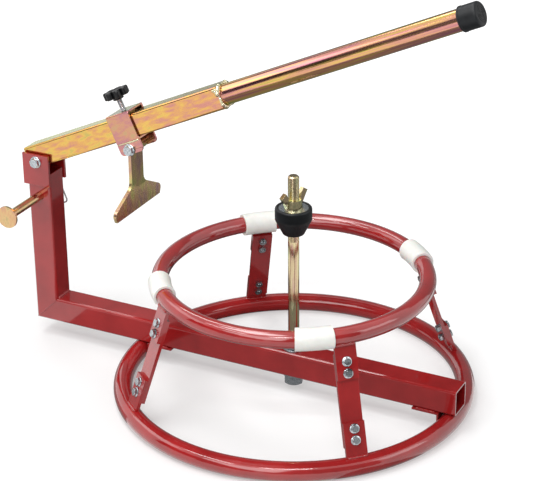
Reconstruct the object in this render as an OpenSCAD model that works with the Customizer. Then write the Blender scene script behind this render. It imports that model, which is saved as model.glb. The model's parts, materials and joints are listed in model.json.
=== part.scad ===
// Tire changing stand with a lever bead breaker
// Origin: centre of the base ring on the floor, +X from the post to the ring's centre, +Z up

/* [Base ring] */
// Radius of the base ring's centre line
base_ring_r = 246; // [220:1:280]
// Outside diameter of the base ring's tube
base_tube_d = 27; // [22:0.5:32]
// Wall of the base ring's tube
base_tube_wall = 2; // [1.5:0.25:3]

/* [Upper ring] */
// Radius of the upper ring's centre line
upper_ring_r = 188; // [165:1:205]
// Outside diameter of the upper ring's tube
upper_tube_d = 24; // [20:0.5:28]
// Wall of the upper ring's tube
upper_tube_wall = 2; // [1.5:0.25:3]
// Height of the upper ring's centre line above the floor
upper_ring_z = 179.5; // [160:0.5:190]

/* [Rim guards] */
// Wall of a guard sleeve
guard_wall = 4; // [2:0.25:5]
// Length of a guard sleeve along the ring
guard_len = 50; // [30:1:70]
// Turn between a leg tab and the edge of a guard's slit, in degrees
guard_slit_side = 6; // [4:0.5:15]
// Direction of the first guard, in degrees round the ring
guard_first = 46; // [40:1:50]
// Turn from one guard to the next, in degrees
guard_turn = 86; // [82:1:90]

/* [Legs] */
// Direction of the two legs on the handle's side, in degrees either side of +X
leg_front_az = 44; // [35:1:55]
// Direction of the two legs on the post's side, in degrees either side of +X
leg_rear_az = 130; // [122:1:140]
// Width of the leg straps and tabs
strap_w = 30; // [24:1:36]
// Thickness of the leg straps
strap_t = 5; // [3:0.5:6]
// Thickness of the leg tabs
tab_t = 5; // [3:0.5:6]
// Length of a leg tab beyond its ring's tube
tab_len = 46.5; // [44:0.5:52]
// Gap along the leg between a ring's tube and the strap's end
strap_gap = 12; // [8:0.5:13]
// Distance along the leg from a ring's tube to the first leg bolt
leg_bolt_first = 22; // [21:0.5:24]
// Distance between the two leg bolts at a strap's end
leg_bolt_pitch = 16; // [14.5:0.5:17]
// Thread diameter of the leg bolts
leg_bolt_d = 6; // [4:0.5:6]

/* [Tube frame] */
// Width of the square tube of the cross tube and the post
tube_w = 38; // [35:0.5:42]
// Wall of that square tube
tube_wall = 2.5; // [1.5:0.25:3]
// Outside corner radius of that square tube
tube_corner = 4; // [3.5:0.25:6]
// Reach of the cross tube beyond the ring's centre, away from the post
tube_end_x = 255.5; // [240:0.5:275]
// Distance from the ring's centre to the post's axis
post_reach = 407.5; // [395:0.5:430]
// Height of the post's top above the floor
post_top_z = 268; // [255:0.5:290]
// Thickness of the seat angles under the cross tube
seat_t = 3; // [2:0.25:4]
// Length of the seat angles along the cross tube
seat_len = 40; // [25:1:60]
// Overhang of the seat angles on each side of the cross tube
seat_lip = 2; // [0:0.5:4]
// Depth of the seat angles' down leg below the cross tube
seat_drop = 14; // [8:0.5:18]

/* [Pivot bracket] */
// Thickness of the bracket's plate
bracket_t = 4; // [3:0.25:5]
// Overlap of the bracket on the post
bracket_lap = 17.5; // [12:0.5:18]
// Height of the cheeks above the post's top
cheek_rise = 31; // [29:0.5:34]
// Reach of the cheeks past the post towards the ring's centre
cheek_lip = 2; // [0:0.5:5]
// Height of the bracket's back above the post's top
back_rise = 4; // [0:0.5:5]
// Height of the pivot bolt above the post's top
pivot_rise = 19.5; // [18.5:0.25:21]
// Thread diameter of the pivot bolt and the blade bolt
pivot_bolt_d = 8; // [6:0.5:8.5]

/* [Lever] */
// Tilt of the lever above level, in degrees
lever_tilt = 24.6; // [20:0.2:30]
// Width of the lever's square tube
lever_w = 34; // [30:0.5:36]
// Wall of the lever's square tube
lever_wall = 2; // [1.5:0.25:3]
// Outside corner radius of the lever's square tube
lever_corner = 3.5; // [3:0.25:5]
// Length of the square tube from the pivot to the handle
lever_len = 337; // [310:1:380]
// Length of the square tube behind the pivot
lever_back = 16; // [9:0.5:17]
// Height of the lever's axis above the pivot bolt
lever_rise = 7; // [6:0.25:7.5]
// Outside diameter of the pivot bush
bush_d = 12; // [11:0.25:12.5]
// Wall of the handle's round tube
handle_wall = 2; // [1.5:0.25:3]
// Length of the handle's round tube outside the square tube
handle_len = 397.5; // [350:0.5:450]
// Length of the handle's round tube inside the square tube
handle_insert = 60; // [40:1:100]
// Wall of the rubber end cap round the handle
cap_wall = 2.4; // [1.5:0.1:4]
// Thickness of the end cap's end
cap_end = 4; // [2:0.5:6]
// Length of the handle that the end cap covers
cap_grip = 23.5; // [15:0.5:40]
// Bevel round the end cap's end
cap_bevel = 3; // [1:0.25:3.5]

/* [Carriage] */
// Distance along the lever from the pivot to the carriage
carriage_s = 147.5; // [135:0.5:160]
// Length of the carriage along the lever
carriage_len = 40; // [36:0.5:44]
// Thickness of the carriage's plate
carriage_t = 3; // [2:0.25:4]
// Outside corner radius of the folded sleeve
carriage_corner = 2; // [1:0.25:2.5]
// Room between the lever's top and the sleeve
carriage_head = 3; // [1:0.25:4]
// Depth of the ears below the sleeve
ear_drop = 17.1; // [16.5:0.1:22]
// Rounding of the ears' lower corners
ear_corner = 6; // [3:0.5:8]
// Distance of the blade bolt below the sleeve
ear_bolt_drop = 10.5; // [10:0.1:11]
// Shift of the blade bolt from the carriage's middle towards the post
ear_bolt_back = 3; // [0:0.5:6]
// Thread diameter of the clamp screw
screw_d = 8; // [6:0.5:10]
// Height of the knob's underside above the sleeve
knob_lift = 16.5; // [15:0.5:30]
// Thickness of the knob's star
knob_t = 15; // [12:0.5:18]
// Overall diameter of the knob's star
knob_d = 38; // [32:0.5:44]
// Number of lobes on the knob
knob_lobes = 7; // [5:1:9]

/* [Blade] */
// Thickness of the blade
blade_t = 5; // [4:0.25:6]
// Distance from the blade bolt down to the blade's edge
blade_drop = 98; // [85:0.5:110]
// Width of the blade's shank
shank_w = 33; // [26:0.5:34]
// Width of the blade across its wings
wing_w = 127; // [110:1:140]
// Slope of the wings' top edges, in degrees
wing_slope = 27; // [20:1:34]
// Rounding of the wings' ends
wing_end_r = 10; // [6:0.5:11]
// Height of the centre of that rounding above the blade's edge
wing_end_h = 8.5; // [6.5:0.5:12]
// Rounding between a wing and the shank
wing_fillet = 14; // [4:0.5:20]
// Shift of the blade's middle plane from its bolt towards the post
blade_set = 3; // [0:0.25:4]
// Outside diameter of the blade's barrel
barrel_d = 15; // [13:0.25:17]

/* [Lock pin] */
// Diameter of the lock pin
pin_d = 12.7; // [10:0.1:14]
// Depth of the pin's axis below the post's top
pin_drop = 35.7; // [34.5:0.1:45]
// Length of the pin that stands out of the post on the head's side
pin_out = 82.5; // [50:0.5:110]
// Diameter of the pin's disc head
pin_head_d = 33; // [26:0.5:34]
// Thickness of the pin's disc head
pin_head_t = 3; // [2:0.25:5]
// Length of the pin past the post on the clip's side
pin_tail = 16; // [12:0.5:24]
// Diameter of the clip's wire
clip_wire = 2.5; // [1.5:0.1:3]
// Radius of the clip's eye, to the wire's middle
clip_eye_r = 5.5; // [4:0.25:6.5]
// Reach of the clip from the pin's axis to the middle of its eye
clip_reach = 23; // [17:0.5:24]
// Turn of the clip about the pin, in degrees from +X
clip_turn = -75; // [-90:1:-30]

/* [Hub clamp] */
// Diameter of the centre rod
rod_d = 16; // [14:0.5:18]
// Height of the rod's top above the floor
rod_top_z = 333; // [325:0.5:342]
// Bevel at the rod's top
rod_bevel = 2; // [0.5:0.25:3]
// Height of the centring cone's top above the floor
cone_top_z = 286; // [275:0.5:292]
// Largest diameter of the centring cone
cone_d = 52; // [48:0.5:60]
// Height of the cone's straight band
cone_band = 18; // [12:0.5:24]
// Height of the cone's taper
cone_taper = 22; // [15:0.5:30]
// Diameter of the cone's lower end
cone_tip_d = 30; // [26:0.5:36]
// Diameter of the cone's washer
cone_washer_d = 42; // [36:0.5:44]
// Thickness of the cone's washer and of the rod's washers
washer_t = 3; // [2:0.25:4]
// Depth of the washer's top below the cone's rim
washer_sink = 1; // [0:0.25:2]
// Height of the wing nut's hub
wing_hub_h = 13; // [10:0.5:16]
// Diameter of the wing nut's hub at its base
wing_hub_d = 26; // [24:0.5:30]
// Thickness of the nut's wings
nut_wing_t = 6; // [4:0.25:7]
// Height of the nut's wings above its base
nut_wing_h = 26; // [22:0.5:28]
// Span of the nut's wings
nut_wing_span = 50; // [44:0.5:56]
// Turn of the wing nut, in degrees from +X
nut_wing_turn = 72; // [0:1:180]

/* [Fits] */
// Gap between parts that are welded or bolted tight against a round face
seat_fit = 0.1; // [0.05:0.05:0.2]
// Running clearance round a pin, bolt or rod, on the radius
run_fit = 0.05; // [0.03:0.01:0.08]
// Clearance round a bolt in its drilled hole, on the radius
hole_fit = 0.2; // [0.1:0.05:0.3]
// Sliding clearance between the carriage and the lever
slide_fit = 0.5; // [0.3:0.05:0.8]

/* [Hidden] */
$fn = 96;

red = [0.63, 0.12, 0.13];
gold = [0.83, 0.66, 0.34];
silver = [0.76, 0.79, 0.82];
black = [0.09, 0.09, 0.1];
white = [0.9, 0.92, 0.93];

// Larger than any piece, for cuts that go right through
big = 1000;

// Heads and nuts grow with the thread
function hex_across(d) = 1.5 * d + 1;
function flange_d(d) = 2 * d + 1.8;
function flange_t(d) = 0.2 * d + 0.3;
function head_h(d) = 0.8 * d;
function nut_h(d) = 0.85 * d;

// Leg line from the base ring's tube centre to the upper ring's tube centre
base_ring_z = base_tube_d / 2;
leg_in = base_ring_r - upper_ring_r;
leg_up = upper_ring_z - base_ring_z;
leg_lean = atan2(leg_in, leg_up);
leg_span = norm([leg_in, leg_up]);
leg_az = [leg_front_az, leg_rear_az, -leg_rear_az, -leg_front_az];
leg_bolt_at = [for (k = [0, 1]) leg_bolt_first + k * leg_bolt_pitch];
leg_holes = concat(
    [for (a = leg_bolt_at) base_tube_d / 2 + a],
    [for (a = leg_bolt_at) leg_span - upper_tube_d / 2 - a]
);

tube_z = base_tube_d + seat_fit;
tube_mid_z = tube_z + tube_w / 2;
post_out_x = -post_reach - tube_w / 2;
seat_edge_x = sqrt(pow(base_ring_r - base_tube_d / 2, 2) - pow(tube_w / 2 + seat_lip, 2)) - seat_fit;

pivot_z = post_top_z + pivot_rise;
cheek_y = tube_w / 2 + seat_fit;
bracket_y = cheek_y + bracket_t;

handle_d = lever_w - 2 * lever_wall - 2 * seat_fit;

sleeve_y = lever_w / 2 + slide_fit;
sleeve_low = lever_rise - lever_w / 2 - slide_fit - carriage_t;
sleeve_high = lever_rise + lever_w / 2 + carriage_head + carriage_t;
ear_y = sleeve_y + carriage_t;
ear_bolt_s = carriage_s + carriage_len / 2 - ear_bolt_back;
ear_bolt_n = sleeve_low - ear_bolt_drop;
screw_s = carriage_s + carriage_len / 2;
screw_tip_n = lever_rise + lever_w / 2 + slide_fit;
knob_n = sleeve_high + knob_lift;
screw_in_knob = knob_t * 0.6;

pin_z = post_top_z - pin_drop;
pin_end_y = tube_w / 2 + pin_tail;
clip_y = tube_w / 2 + pin_tail / 2;
clip_bend_d = 1.1 * clip_wire;

washer_top_z = cone_top_z - washer_sink;
rod_low_z = tube_z - washer_t - nut_h(rod_d) - rod_bevel - 1;

module rounded_rect(w, h, r) {
    square([w - 2 * r, h], center = true);
    square([w, h - 2 * r], center = true);
    for (x = [-1, 1], y = [-1, 1])
        translate([x * (w / 2 - r), y * (h / 2 - r)]) circle(r);
}

module square_tube(w, wall, r, l) {
    linear_extrude(l) difference() {
        rounded_rect(w, w, r);
        rounded_rect(w - 2 * wall, w - 2 * wall, max(r - wall, 0.5));
    }
}

module along_x() rotate([90, 0, 90]) children();

module hexagon(across) circle(d = across / cos(30), $fn = 6);

// Bolt along +Z with its flange head under the origin
module flange_bolt(d, grip) {
    translate([0, 0, -flange_t(d)]) cylinder(d = flange_d(d), h = flange_t(d));
    translate([0, 0, -head_h(d)]) linear_extrude(head_h(d)) hexagon(hex_across(d));
    cylinder(d = d, h = grip + nut_h(d) + 1);
}

module nut(d, fit) {
    linear_extrude(nut_h(d)) difference() {
        hexagon(hex_across(d));
        circle(d = d + 2 * fit);
    }
}

module ring(r, tube_d, wall, z) {
    translate([0, 0, z]) rotate_extrude($fn = 180) translate([r, 0]) difference() {
        circle(d = tube_d);
        circle(d = tube_d - 2 * wall);
    }
}

module ring_cut(r, tube_d, z) {
    translate([0, 0, z]) rotate_extrude($fn = 180) translate([r, 0]) circle(d = tube_d + 2 * seat_fit);
}

module base_ring() color(red) ring(base_ring_r, base_tube_d, base_tube_wall, base_ring_z);

module upper_ring() color(red) ring(upper_ring_r, upper_tube_d, upper_tube_wall, upper_ring_z);

// Slit hose on the upper ring, its slit turned down and outwards to where the legs come in
module rim_guard(i) {
    sweep = guard_len / upper_ring_r * 180 / PI;
    bore = upper_tube_d + 2 * seat_fit;
    slit_from = leg_lean - 90 - guard_slit_side;
    slit_to = leg_lean - 90 + asin(2 * tab_t / upper_tube_d) + guard_slit_side;
    color(white) translate([0, 0, upper_ring_z])
        rotate([0, 0, guard_first + i * guard_turn - sweep / 2])
            rotate_extrude(angle = sweep, $fn = 180) translate([upper_ring_r, 0]) difference() {
                circle(d = bore + 2 * guard_wall);
                circle(d = bore);
                polygon([
                    [0, 0],
                    2 * bore * [cos(slit_from), sin(slit_from)],
                    2 * bore * [cos(slit_to), sin(slit_to)]
                ]);
            }
}

// Frame of leg i: +Z up the leg from the base ring's tube centre, +X outwards, tab and strap meet at X = 0
module leg_frame(i) {
    rotate([0, 0, leg_az[i]]) translate([base_ring_r, 0, base_ring_z]) rotate([0, -leg_lean, 0]) children();
}

module leg_bolt_holes(holes) {
    for (a = holes) translate([0, 0, a]) rotate([0, 90, 0])
        cylinder(d = leg_bolt_d + 2 * hole_fit, h = 4 * (strap_t + tab_t), center = true);
}

module base_tab(i) {
    color(red) difference() {
        leg_frame(i) difference() {
            translate([0, -strap_w / 2, 0]) cube([tab_t, strap_w, base_tube_d / 2 + tab_len]);
            leg_bolt_holes(leg_holes);
        }
        ring_cut(base_ring_r, base_tube_d, base_ring_z);
    }
}

module upper_tab(i) {
    reach = upper_tube_d / 2 + tab_len;
    color(red) difference() {
        leg_frame(i) difference() {
            translate([0, -strap_w / 2, leg_span - reach]) cube([tab_t, strap_w, reach]);
            leg_bolt_holes(leg_holes);
        }
        ring_cut(upper_ring_r, upper_tube_d, upper_ring_z);
    }
}

module leg_strap(i) {
    low = base_tube_d / 2 + strap_gap;
    high = leg_span - upper_tube_d / 2 - strap_gap;
    color(red) leg_frame(i) difference() {
        translate([-strap_t, -strap_w / 2, low]) cube([strap_t, strap_w, high - low]);
        leg_bolt_holes(leg_holes);
    }
}

module leg_bolts() {
    color(silver) for (i = [0:3], a = leg_holes) leg_frame(i)
        translate([tab_t, 0, a]) rotate([0, -90, 0]) flange_bolt(leg_bolt_d, tab_t + strap_t);
}

module leg_nuts() {
    color(silver) for (i = [0:3], a = leg_holes) leg_frame(i)
        translate([-strap_t, 0, a]) rotate([0, -90, 0]) nut(leg_bolt_d, run_fit);
}

// Half space above the mitre plane, or below it with side = -1
module mitre_cut(side) {
    translate([post_out_x, 0, tube_z]) rotate([0, -45, 0])
        translate([-big / 2, -big / 2, side > 0 ? 0 : -big]) cube(big);
}

module cross_tube() {
    color(red) difference() {
        translate([post_out_x, 0, tube_mid_z]) along_x()
            square_tube(tube_w, tube_wall, tube_corner, tube_end_x - post_out_x);
        mitre_cut(1);
        translate([0, 0, tube_mid_z]) cylinder(d = rod_d + 2 * hole_fit, h = 2 * tube_w, center = true);
    }
}

module post() {
    color(red) difference() {
        translate([-post_reach, 0, tube_z]) square_tube(tube_w, tube_wall, tube_corner, post_top_z - tube_z);
        mitre_cut(-1);
        translate([-post_reach, 0, pin_z]) rotate([90, 0, 0])
            cylinder(d = pin_d + 2 * run_fit, h = 2 * tube_w, center = true);
    }
}

// Angle under the cross tube, its down leg against the inside of the base ring
module seat_angle(side) {
    w = tube_w + 2 * seat_lip;
    color(red) mirror([side > 0 ? 0 : 1, 0, 0]) translate([seat_edge_x, 0, tube_z]) {
        translate([-seat_len, -w / 2, -seat_t]) cube([seat_len, w, seat_t]);
        translate([-seat_t, -w / 2, -seat_drop]) cube([seat_t, w, seat_drop]);
    }
}

module pivot_bracket() {
    back_x = post_out_x - seat_fit - bracket_t;
    front_x = post_out_x + tube_w + cheek_lip;
    low = post_top_z - bracket_lap;
    high = post_top_z + cheek_rise;
    color(red) difference() {
        translate([back_x, -bracket_y, low]) cube([front_x - back_x, 2 * bracket_y, high - low]);
        translate([back_x + bracket_t, -cheek_y, low - 1]) cube([big, 2 * cheek_y, high - low + 2]);
        translate([back_x - 1, -cheek_y, post_top_z + back_rise]) cube([big, 2 * cheek_y, big]);
        translate([-post_reach, 0, pivot_z]) rotate([90, 0, 0])
            cylinder(d = pivot_bolt_d + 2 * hole_fit, h = 4 * bracket_y, center = true);
    }
}

module pivot_bolt() {
    color(silver) translate([-post_reach, -bracket_y, pivot_z]) rotate([-90, 0, 0])
        flange_bolt(pivot_bolt_d, 2 * bracket_y);
}

module pivot_nut() {
    color(silver) translate([-post_reach, bracket_y, pivot_z]) rotate([-90, 0, 0]) nut(pivot_bolt_d, run_fit);
}

module center_rod() {
    r = rod_d / 2;
    color(gold) rotate_extrude() polygon([
        [0, rod_low_z], [r - rod_bevel, rod_low_z], [r, rod_low_z + rod_bevel],
        [r, rod_top_z - rod_bevel], [r - rod_bevel, rod_top_z], [0, rod_top_z]
    ]);
}

module rod_nuts() {
    color(silver) {
        translate([0, 0, tube_z - washer_t - nut_h(rod_d)]) nut(rod_d, run_fit);
        translate([0, 0, tube_z + tube_w + washer_t]) nut(rod_d, run_fit);
    }
}

module rod_washers() {
    color(silver) for (z = [tube_z - washer_t, tube_z + tube_w]) translate([0, 0, z])
        linear_extrude(washer_t) difference() {
            circle(d = 2 * rod_d);
            circle(d = rod_d + 2 * hole_fit);
        }
}

// Frame of the lever: origin on the pivot bolt, +X along the lever, +Z square to it
module lever_frame() translate([-post_reach, 0, pivot_z]) rotate([0, -lever_tilt, 0]) children();

module lever_tube() {
    color(gold) lever_frame() difference() {
        translate([-lever_back, 0, lever_rise]) along_x()
            square_tube(lever_w, lever_wall, lever_corner, lever_len + lever_back);
        rotate([90, 0, 0]) cylinder(d = bush_d + 2 * run_fit, h = 2 * lever_w, center = true);
    }
}

module pivot_bush() {
    color(gold) lever_frame() rotate([90, 0, 0]) difference() {
        cylinder(d = bush_d, h = 2 * (cheek_y - slide_fit / 2), center = true);
        cylinder(d = pivot_bolt_d + 2 * run_fit, h = 2 * tube_w, center = true);
    }
}

module handle_tube() {
    color(gold) lever_frame() translate([lever_len - handle_insert, 0, lever_rise]) along_x()
        linear_extrude(handle_insert + handle_len) difference() {
            circle(d = handle_d);
            circle(d = handle_d - 2 * handle_wall);
        }
}

module end_cap() {
    bore = handle_d / 2 + run_fit;
    r = bore + cap_wall;
    color(black) lever_frame() translate([lever_len + handle_len, 0, lever_rise]) along_x()
        rotate_extrude() polygon([
            [bore, -cap_grip], [r, -cap_grip], [r, cap_end - cap_bevel], [r - cap_bevel, cap_end],
            [0, cap_end], [0, 0], [bore, 0]
        ]);
}

module carriage_sleeve() {
    h = sleeve_high - sleeve_low;
    in_h = h - 2 * carriage_t;
    color(gold) lever_frame() difference() {
        translate([carriage_s, 0, (sleeve_high + sleeve_low) / 2]) along_x()
            linear_extrude(carriage_len) difference() {
                rounded_rect(2 * ear_y, h, carriage_corner);
                square([2 * sleeve_y, in_h], center = true);
            }
        translate([screw_s, 0, sleeve_high]) cylinder(d = screw_d + 2 * run_fit, h = 4 * carriage_t, center = true);
    }
}

module ear(side) {
    r = ear_corner;
    low = sleeve_low - ear_drop;
    color(gold) lever_frame() translate([0, side * (sleeve_y + carriage_t / 2), 0]) rotate([90, 0, 0])
        linear_extrude(carriage_t, center = true) difference() {
            union() {
                translate([carriage_s, low + r]) square([carriage_len, ear_drop - r]);
                translate([carriage_s + r, low]) square([carriage_len - 2 * r, ear_drop]);
                for (s = [carriage_s + r, carriage_s + carriage_len - r]) translate([s, low + r]) circle(r);
            }
            translate([ear_bolt_s, ear_bolt_n]) circle(d = pivot_bolt_d + 2 * hole_fit);
        }
}

module near_ear() ear(-1);

module far_ear() ear(1);

// Frame of the blade: origin on the blade bolt, +Z straight up
module blade_frame() {
    lever_frame() translate([ear_bolt_s, 0, ear_bolt_n]) rotate([0, lever_tilt, 0]) children();
}

module blade_bolt() {
    color(silver) blade_frame() translate([0, -ear_y, 0]) rotate([-90, 0, 0]) flange_bolt(pivot_bolt_d, 2 * ear_y);
}

module blade_nut() {
    color(silver) blade_frame() translate([0, ear_y, 0]) rotate([-90, 0, 0]) nut(pivot_bolt_d, run_fit);
}

module clamp_screw() {
    color(silver) lever_frame() translate([screw_s, 0, screw_tip_n])
        cylinder(d = screw_d, h = knob_n + screw_in_knob - screw_tip_n);
}

module clamp_knob() {
    lobe_r = knob_d * 0.15;
    skirt_t = 4;
    color(black) lever_frame() translate([screw_s, 0, knob_n]) difference() {
        union() {
            cylinder(d = 2 * screw_d, h = knob_t);
            translate([0, 0, skirt_t]) linear_extrude(knob_t - skirt_t) {
                circle(d = knob_d * 0.78);
                for (i = [0:knob_lobes - 1]) rotate(i * 360 / knob_lobes)
                    translate([knob_d / 2 - lobe_r, 0]) circle(lobe_r);
            }
        }
        translate([0, 0, -1]) cylinder(d = screw_d + 2 * run_fit, h = screw_in_knob + 1);
    }
}

function arc(x, y, r, from, to, steps = 12) =
    [for (k = [0:steps]) let (a = from + (to - from) * k / steps) [x + r * cos(a), y + r * sin(a)]];

// Right half of the blade's outline, from its edge round the wing and up the shank
function blade_half() =
    let (
        end_x = wing_w / 2 - wing_end_r,
        up = 90 - wing_slope,
        side_x = shank_w / 2,
        fillet_x = side_x + wing_fillet,
        rise = wing_end_r + wing_fillet - (fillet_x - end_x) * cos(up),
        fillet_y = wing_end_h + rise / sin(up)
    )
    concat(
        [[wing_w / 2 - wing_end_r / 3, 0]],
        arc(end_x, wing_end_h, wing_end_r, 0, up),
        arc(fillet_x, fillet_y, wing_fillet, 180 + up, 180),
        [[side_x, blade_drop]]
    );

function blade_outline() =
    let (half = blade_half(), n = len(half))
    concat(half, [for (k = [1:n]) [-half[n - k][0], half[n - k][1]]]);

module blade() {
    color(gold) blade_frame() difference() {
        translate([-blade_set - blade_t / 2, 0, -blade_drop]) along_x() linear_extrude(blade_t)
            polygon(blade_outline());
        rotate([90, 0, 0]) cylinder(d = barrel_d + 2 * seat_fit, h = 2 * shank_w, center = true);
    }
}

module blade_barrel() {
    color(gold) blade_frame() rotate([90, 0, 0]) difference() {
        cylinder(d = barrel_d, h = 2 * (sleeve_y - slide_fit / 2), center = true);
        cylinder(d = pivot_bolt_d + 2 * run_fit, h = 4 * sleeve_y, center = true);
    }
}

// Frame of the clip: origin on the pin's axis, the clip lies in its XY plane, +X towards the eye
module clip_frame() {
    translate([-post_reach, clip_y, pin_z]) rotate([90, 0, 0]) rotate([0, 0, clip_turn]) children();
}

module lock_pin() {
    r = pin_d / 2;
    head_y = -tube_w / 2 - pin_out;
    color(gold) difference() {
        translate([-post_reach, 0, pin_z]) rotate([-90, 0, 0]) rotate_extrude() polygon([
            [0, head_y - pin_head_t], [pin_head_d / 2, head_y - pin_head_t], [pin_head_d / 2, head_y], [r, head_y],
            [r, pin_end_y - r / 3], [r * 2 / 3, pin_end_y], [0, pin_end_y]
        ]);
        clip_frame() rotate([0, 90, 0]) cylinder(d = clip_wire + 2 * hole_fit, h = 2 * pin_d, center = true);
    }
}

// Hairpin: a straight leg through the pin, an eye, and an arm that rests on the pin and flares off it
module pin_clip() {
    over_r = pin_d / 2 + clip_bend_d / 2 + seat_fit;
    tangent = atan2(clip_eye_r, clip_reach) + acos((over_r - clip_eye_r) / norm([clip_reach, clip_eye_r]));
    from = [clip_reach + clip_eye_r * cos(tangent), clip_eye_r + clip_eye_r * sin(tangent)];
    to = [over_r * cos(tangent), over_r * sin(tangent)];
    hold = 35;
    last = tangent + hold;
    color(silver) clip_frame() {
        clip_bar([-pin_d, 0], 0, pin_d + clip_reach);
        clip_bend([clip_reach, clip_eye_r], clip_eye_r, -90, 90 + tangent);
        clip_bar(from, tangent + 90, norm(to - from));
        clip_bend([0, 0], over_r, tangent, hold);
        clip_bar(over_r * [cos(last), sin(last)], last + 40, 3 * clip_wire);
    }
}

// Straight wire that runs a little into the bend before it and the bend after it
module clip_bar(at, dir, l) {
    translate([at[0], at[1], 0]) rotate([0, 0, dir]) rotate([0, 90, 0])
        translate([0, 0, -clip_wire / 2]) cylinder(d = clip_wire, h = l + clip_wire);
}

module clip_bend(mid, r, from, sweep) {
    translate([mid[0], mid[1], 0]) rotate([0, 0, from]) rotate_extrude(angle = sweep)
        translate([r, 0]) circle(d = clip_bend_d);
}

module center_cone() {
    r = cone_d / 2;
    bore = rod_d / 2 + run_fit;
    seat_r = cone_washer_d / 2 + seat_fit;
    rim = (r - seat_r) / 3;
    band_z = cone_top_z - cone_band;
    color(black) rotate_extrude() polygon([
        [bore, band_z - cone_taper], [cone_tip_d / 2, band_z - cone_taper], [r, band_z],
        [r, cone_top_z - rim], [r - rim, cone_top_z], [seat_r, cone_top_z],
        [seat_r, washer_top_z - washer_t], [bore, washer_top_z - washer_t]
    ]);
}

module cone_washer() {
    color(silver) translate([0, 0, washer_top_z - washer_t]) linear_extrude(washer_t) difference() {
        circle(d = cone_washer_d);
        circle(d = rod_d + 2 * hole_fit);
    }
}

module wing_nut() {
    end_x = nut_wing_span / 2;
    end_in = nut_wing_t * 4 / 3;
    end_drop = nut_wing_t * 0.9;
    root = wing_hub_d / 2;
    color(gold) translate([0, 0, washer_top_z + run_fit]) rotate([0, 0, nut_wing_turn]) difference() {
        union() {
            cylinder(d1 = wing_hub_d, d2 = wing_hub_d * 0.85, h = wing_hub_h);
            for (side = [0, 180]) rotate([90, 0, side]) linear_extrude(nut_wing_t, center = true) polygon([
                [rod_d / 2, 1], [root, 1], [end_x, nut_wing_h - end_drop],
                [end_x - end_in, nut_wing_h], [rod_d / 2 + 1, wing_hub_h]
            ]);
        }
        cylinder(d = rod_d + 2 * run_fit, h = 4 * nut_wing_h, center = true);
    }
}

base_ring();
upper_ring();
for (i = [0:3]) {
    rim_guard(i);
    base_tab(i);
    upper_tab(i);
    leg_strap(i);
}
leg_bolts();
leg_nuts();
cross_tube();
post();
seat_angle(1);  // front_seat_angle
seat_angle(-1);  // rear_seat_angle
pivot_bracket();
pivot_bolt();
pivot_nut();
center_rod();
rod_nuts();
rod_washers();
lever_tube();
pivot_bush();
handle_tube();
end_cap();
carriage_sleeve();
near_ear();
far_ear();
blade_bolt();
blade_nut();
clamp_screw();
clamp_knob();
blade();
blade_barrel();
lock_pin();
pin_clip();
center_cone();
cone_washer();
wing_nut();
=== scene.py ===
import json
import math
import random

import bmesh
import bpy
from mathutils import Matrix, Vector


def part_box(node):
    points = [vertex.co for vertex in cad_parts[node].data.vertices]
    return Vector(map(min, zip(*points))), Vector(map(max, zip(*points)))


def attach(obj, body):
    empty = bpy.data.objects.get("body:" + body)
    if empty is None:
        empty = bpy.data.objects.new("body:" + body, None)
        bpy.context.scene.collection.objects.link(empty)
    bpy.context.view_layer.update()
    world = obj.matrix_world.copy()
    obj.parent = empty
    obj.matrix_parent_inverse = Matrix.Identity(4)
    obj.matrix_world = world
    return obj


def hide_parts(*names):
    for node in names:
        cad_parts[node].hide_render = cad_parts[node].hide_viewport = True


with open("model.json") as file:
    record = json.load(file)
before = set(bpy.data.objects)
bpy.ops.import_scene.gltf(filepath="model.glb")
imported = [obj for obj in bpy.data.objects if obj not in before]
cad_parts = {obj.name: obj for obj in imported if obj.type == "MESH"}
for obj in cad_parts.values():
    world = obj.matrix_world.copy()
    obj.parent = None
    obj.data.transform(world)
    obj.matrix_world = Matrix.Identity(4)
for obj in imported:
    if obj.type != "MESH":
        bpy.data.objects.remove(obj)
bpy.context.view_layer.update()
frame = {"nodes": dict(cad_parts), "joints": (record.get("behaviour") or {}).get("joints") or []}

random.seed(5)
mm = 0.001  # lengths below are in millimetres, Blender's are in metres
nodes = frame["nodes"]
joints = {joint["name"]: joint for joint in frame["joints"]}


def hexColour(code):
    parts = [int(code[i:i + 2], 16) / 255 for i in (1, 3, 5)]
    return [c / 12.92 if c <= 0.04045 else ((c + 0.055) / 1.055) ** 2.4 for c in parts] + [1]


def addNode(tree, kind, links=None, stops=None, **settings):
    node = tree.nodes.new(kind)
    for key, value in settings.items():
        setattr(node, key, value)
    for socket, value in (links or {}).items():
        if isinstance(value, bpy.types.NodeSocket):
            tree.links.new(value, node.inputs[socket])
        else:
            node.inputs[socket].default_value = value
    for i, (place, code) in enumerate(stops or []):  # colour stops of a ramp
        stop = node.color_ramp.elements[i] if i < 2 else node.color_ramp.elements.new(place)
        stop.position, stop.color = place, hexColour(code)
    return node


def startMaterial(name):
    material = bpy.data.materials.new(name)
    material.use_nodes = True
    material.node_tree.nodes.clear()
    return material, material.node_tree


# what the frame says about where things are, in millimetres
def boxOf(node):
    low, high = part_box(node)
    return low / mm, high / mm


def placeAt(origin, xAxis, zAxis):
    x, z = Vector(xAxis).normalized(), Vector(zAxis).normalized()
    turn = Matrix((x, z.cross(x), z)).transposed().to_4x4()
    return Matrix.Scale(mm, 4) @ Matrix.Translation(origin) @ turn


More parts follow.
